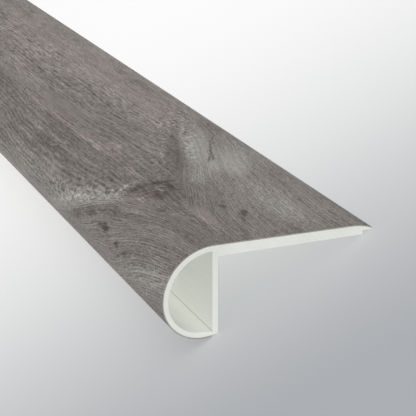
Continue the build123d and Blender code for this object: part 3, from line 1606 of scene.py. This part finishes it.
@dataclass
class DecorFilm(Extrusion):
    """The printed film, wrapped from the lip tip over the top and round the nose to its underside."""

    book: PatternBook = field(default_factory=PatternBook)
    heel_steps: int = 3
    bake_rows: int = 5
    rows_share: float = 0.95
    row_fill: float = 0.975
    end_facing: float = 0.5
    crease: float = radians(40.0)

    def build(self) -> bpy.types.Object:
        """Model the film upright and lay it as it rests.

        Returns:
            The finished piece.
        """
        section = self.section
        bench = MeshBench("oak_film", self.resting.length)
        _, foot = self.show_side(bench, 0.0)
        sweep = section.film_tuck / section.heel_radius
        bench.swing(foot, section.heel_centre, sweep, self.heel_steps, Turn.TO_NOSE)
        bench.join_seams()
        bench.divide(self.bays)
        bench.face_up()
        piece = bench.leave()
        self.lay_print(piece)
        for _ in FilmFace:
            piece.data.materials.append(None)
        wall = piece.modifiers.new("film_thickness", "SOLIDIFY")
        wall.thickness = section.film
        wall.offset = -1.0
        wall.use_even_offset = True
        wall.material_offset = FilmFace.BACK.value
        wall.material_offset_rim = FilmFace.CUT.value
        outside = len(piece.data.vertices)
        bpy.ops.object.modifier_apply(modifier=wall.name)
        self.square_lip(piece, outside)
        self.lay_bake(piece, outside)
        settle(piece, self.resting, self.crease)
        return piece

    def square_lip(self, piece: bpy.types.Object, outside: int) -> None:
        """Cut the film off upright at the lip tip.

        Args:
            piece: the film, upright.
            outside: number of its vertices on the show face, which come first.
        """
        section = self.section
        for vert in piece.data.vertices[outside:]:
            if section.unrolled(vert.co.x, vert.co.z) < section.film:
                vert.co.x, vert.co.z = section.tip(section.film)

    def lay_bake(self, piece: bpy.types.Object, outside: int) -> None:
        """Map the film for a bake: its show face in stacked rows, its back and cut edges in strips above.

        Args:
            piece: the film, upright.
            outside: number of its vertices on the show face, which come first.
        """
        layer = piece.data.uv_layers.new(name=BAKE_MAP)
        whole = self.section.unrolled_marks[-1]
        for face in piece.data.polygons:
            row = int(self.share_along(face.center) * self.bake_rows)
            strip = self.strip_of(face)
            for index in face.loop_indices:
                corner = piece.data.loops[index].vertex_index
                place = piece.data.vertices[corner].co
                along = self.share_along(place)
                turn = self.section.unrolled(place.x, place.z) / whole
                if strip is None:
                    up = (row + turn * self.row_fill) * self.rows_share / self.bake_rows
                    spot = (along * self.bake_rows - row, up)
                else:
                    low, high = strip.value
                    edge = turn if strip is Strip.BACK else float(corner < outside)
                    run = turn if strip in (Strip.NEAR_END, Strip.FAR_END) else along
                    spot = (run, low + (high - low) * edge)
                layer.uv[index].vector = spot

    def share_along(self, place: Vector) -> float:
        """How far along the length a place is, from 0 at the near end to 1."""
        return (place.y - self.resting.near_end) / self.resting.length

    def strip_of(self, face: bpy.types.MeshPolygon) -> Optional[Strip]:
        """Find the strip of the bake map that a face goes in.

        Args:
            face: the face.

        Returns:
            The strip, or none for a face of the print.
        """
        if face.material_index == FilmFace.PRINT.value:
            return None
        if face.material_index == FilmFace.BACK.value:
            return Strip.BACK
        if abs(face.normal.y) > self.end_facing:
            return Strip.NEAR_END if face.normal.y < 0 else Strip.FAR_END
        return Strip.LIP_EDGE if face.center.x > self.section.fall_start else Strip.TUCK_EDGE

    def lay_print(self, piece: bpy.types.Object) -> None:
        """Map the print onto the skin: along from the near end, and round from the lip tip, in metres.

        Args:
            piece: the skin, upright.
        """
        layer = piece.data.uv_layers.new(name=PRINT_MAP)
        for loop in piece.data.loops:
            place = piece.data.vertices[loop.vertex_index].co
            turn = self.section.unrolled(place.x, place.z)
            layer.uv[loop.index].vector = (place.y - self.resting.near_end, turn)

    def dress(self, piece: bpy.types.Object) -> None:
        """Give the film its print and its cut edges.

        Args:
            piece: the film.
        """
        edge = FilmEdge().make(self.book)
        finishes = {FilmFace.PRINT: OakPrint().make(self.book), FilmFace.BACK: edge, FilmFace.CUT: edge}
        for face, material in finishes.items():
            piece.data.materials[face.value] = material


@dataclass(frozen=True)
class PhotoView:
    """The camera, placed from the foot of the nose at the near end, with the section upright."""

    across: float = -126.883 * MM
    along: float = -344.408 * MM
    up: float = 161.109 * MM
    heading: float = radians(22.035)
    dip: float = radians(18.682)
    lens: float = 134.86
    sensor: float = 36.0
    nearest: float = 1.0 * MM

    def place(self, resting: Resting) -> None:
        """Set up the camera, tilted with the nosing.

        Args:
            resting: how the nosing rests.
        """
        data = bpy.data.cameras.new("photo_view")
        data.lens = self.lens
        data.sensor_width = self.sensor
        data.clip_start = self.nearest
        camera = bpy.data.objects.new("photo_view", data)
        bpy.context.scene.collection.objects.link(camera)
        aim = Matrix.Rotation(-self.heading, 4, "Z") @ Matrix.Rotation(pi / 2 - self.dip, 4, "X")
        stand = Matrix.Translation((self.across, resting.near_end + self.along, self.up))
        camera.matrix_world = resting.matrix @ stand @ aim
        bpy.context.scene.camera = camera


@dataclass(frozen=True)
class Lamp:
    """An even lamp: the way to it with the section upright, its share of plain light, spread and shadow."""

    name: str
    towards: tuple[float, float, float]
    share: float
    spread: float
    shadow: bool

    def hang(self, resting: Resting) -> None:
        """Add the lamp, tilted with the nosing.

        Args:
            resting: how the nosing rests.
        """
        data = bpy.data.lights.new(self.name, "SUN")
        data.energy = self.share * pi
        data.angle = self.spread
        data.use_shadow = self.shadow
        lamp = bpy.data.objects.new(self.name, data)
        bpy.context.scene.collection.objects.link(lamp)
        way = resting.matrix.to_3x3() @ Vector(self.towards)
        lamp.rotation_euler = way.to_track_quat("Z", "Y").to_euler()


@dataclass(frozen=True)
class Studio:
    """A wide pale floor with painted shade that darkens it to grey in front of the near end, and soft light
    from all round.
    """

    resting: Resting
    floor_size: float = 120.0
    floor_cells: int = 8
    sky: Tone = Tone(255, 255, 255)
    ambient: float = 0.37
    # Painted shade on the floor: grey up to the first line in front of the near end, white from the second
    grey_line: float = -1.244
    white_line: float = -0.93
    skew: float = 0.17
    tones: tuple[tuple[float, Tone], ...] = (
        (0.0, Tone(168, 171, 176)),
        (0.17, Tone(198, 199, 201)),
        (0.38, Tone(231, 232, 232)),
        (0.62, Tone(250, 250, 250)),
        (0.85, Tone(255, 255, 255)),
    )
    lamps: tuple[Lamp, ...] = (
        Lamp("front_left", (-0.52, -0.83, 0.2), 0.6, radians(40.0), False),
        Lamp("overhead", (-0.2, -0.25, 0.95), 0.38, radians(40.0), False),
    )

    def build(self) -> None:
        """Lay the floor, hang the lamps and set the world."""
        bpy.ops.object.select_all(action="DESELECT")
        cells = self.floor_cells
        bpy.ops.mesh.primitive_grid_add(x_subdivisions=cells, y_subdivisions=cells, size=self.floor_size)
        floor = bpy.context.object
        floor.name = "studio_floor"
        floor.data.materials.append(self.floor_with_painted_shade())
        for lamp in self.lamps:
            lamp.hang(self.resting)
        world = bpy.data.worlds.new("studio")
        world.use_nodes = True
        world.node_tree.nodes["Background"].inputs["Color"].default_value = self.sky.paint
        world.node_tree.nodes["Background"].inputs["Strength"].default_value = self.ambient
        bpy.context.scene.world = world
        bpy.context.scene.view_settings.view_transform = "Standard"

    def floor_with_painted_shade(self) -> bpy.types.Material:
        """Mix a matt floor colour with painted shade, which goes from grey in front of the near end to white
        along the length.

        Returns:
            The material.
        """
        material, bench = blank_material("studio_floor")
        across, along, _ = bench.split(bench.add("ShaderNodeTexCoord").outputs["Object"])
        # Painted shade: the floor's colour darkens to grey towards the near end, slanting a little across
        run = bench.math("MULTIPLY_ADD", across, self.skew, along)
        share = bench.spread(run, self.grey_line, self.white_line)
        ramp = bench.add("ShaderNodeValToRGB")
        ramp.color_ramp.interpolation = "B_SPLINE"
        stops = ramp.color_ramp.elements
        while len(stops) < len(self.tones):
            stops.new(1.0)
        for stop, (spot, tone) in zip(stops, self.tones):
            stop.position = spot
            stop.color = tone.paint
        bench.surface("ShaderNodeBsdfDiffuse", Color=bench.run(ramp, share))
        return material


def main() -> None:
    """Build the nosing, dress it and set up the studio round it."""
    logging.basicConfig(level=logging.INFO, format="%(name)s: %(message)s")
    section = Section()
    resting = Resting.from_frame(section)
    parts = (
        (CoreProfile(section, resting), "core_profile", Slot.VINYL),
        (DecorFilm(section, resting), "decor_film", Slot.FILM),
    )
    for part, node, slot in parts:
        piece = part.build()
        part.dress(piece)
        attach(piece, BODY)
        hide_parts(node)
        LOG.info("%s stands for %s with %d faces", piece.name, node, len(piece.data.polygons))
    Studio(resting).build()
    PhotoView().place(resting)


if __name__ == "__main__":
    main()
